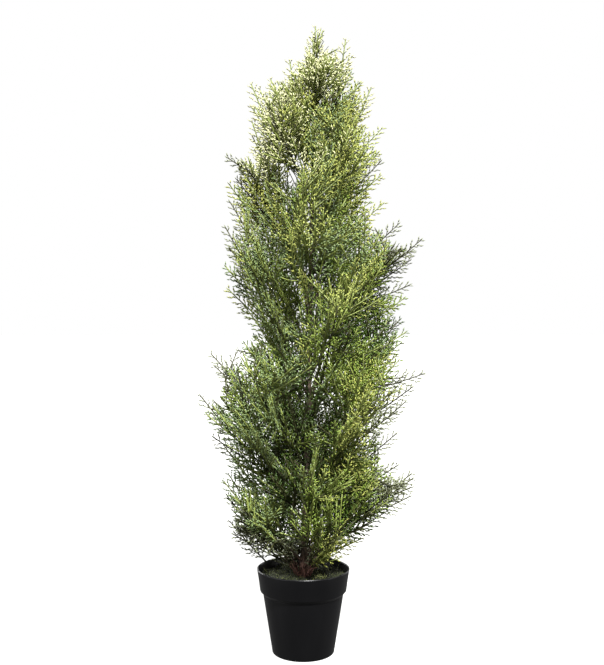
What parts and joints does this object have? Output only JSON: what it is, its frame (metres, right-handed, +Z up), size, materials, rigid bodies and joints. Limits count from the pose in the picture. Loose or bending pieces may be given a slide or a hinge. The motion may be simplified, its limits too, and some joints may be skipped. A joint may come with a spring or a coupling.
{
  "type": "artificial cypress tree in a nursery pot",
  "caption": "Slim upright artificial cypress tree with flat green sprays on rising boughs, standing in a plain black nursery pot.",
  "frame": {"origin": "centre of the pot's flat underside", "axes": "+Z up along the trunk, -Y towards the front view, +X to the right of the front view"},
  "size_m": [0.439, 0.4095, 1.2],
  "materials": {
    "pot_plastic": "black injection-moulded plastic, satin",
    "mossy_fill": "dark moss over a cement plug",
    "bark": "matt brown bark",
    "foliage": "matt green moulded sprays"
  },
  "bodies": {
    "root": {"pot": "pot_plastic", "pot_fill": "mossy_fill", "trunk": "bark", "bough_01": "bark", "bough_02": "bark", "bough_03": "bark", "bough_04": "bark", "bough_05": "bark", "bough_06": "bark", "bough_07": "bark", "bough_08": "bark", "bough_09": "bark", "bough_10": "bark", "bough_11": "bark", "bough_12": "bark", "bough_13": "bark", "bough_14": "bark", "bough_15": "bark", "bough_16": "bark", "bough_17": "bark", "bough_18": "bark", "bough_19": "bark", "bough_20": "bark", "bough_21": "bark", "bough_22": "bark", "bough_23": "bark", "bough_24": "bark", "bough_25": "bark", "bough_26": "bark", "bough_27": "bark", "foliage_01": "foliage", "foliage_02": "foliage", "foliage_03": "foliage", "foliage_04": "foliage", "foliage_05": "foliage", "foliage_06": "foliage", "foliage_07": "foliage", "foliage_08": "foliage", "foliage_09": "foliage", "foliage_10": "foliage", "foliage_11": "foliage", "foliage_12": "foliage", "foliage_13": "foliage", "foliage_14": "foliage", "foliage_15": "foliage", "foliage_16": "foliage", "foliage_17": "foliage", "foliage_18": "foliage", "foliage_19": "foliage", "foliage_20": "foliage", "foliage_21": "foliage", "foliage_22": "foliage", "foliage_23": "foliage", "foliage_24": "foliage", "foliage_25": "foliage", "foliage_26": "foliage", "foliage_27": "foliage", "foliage_tip": "foliage"}
  },
  "joints": []
}
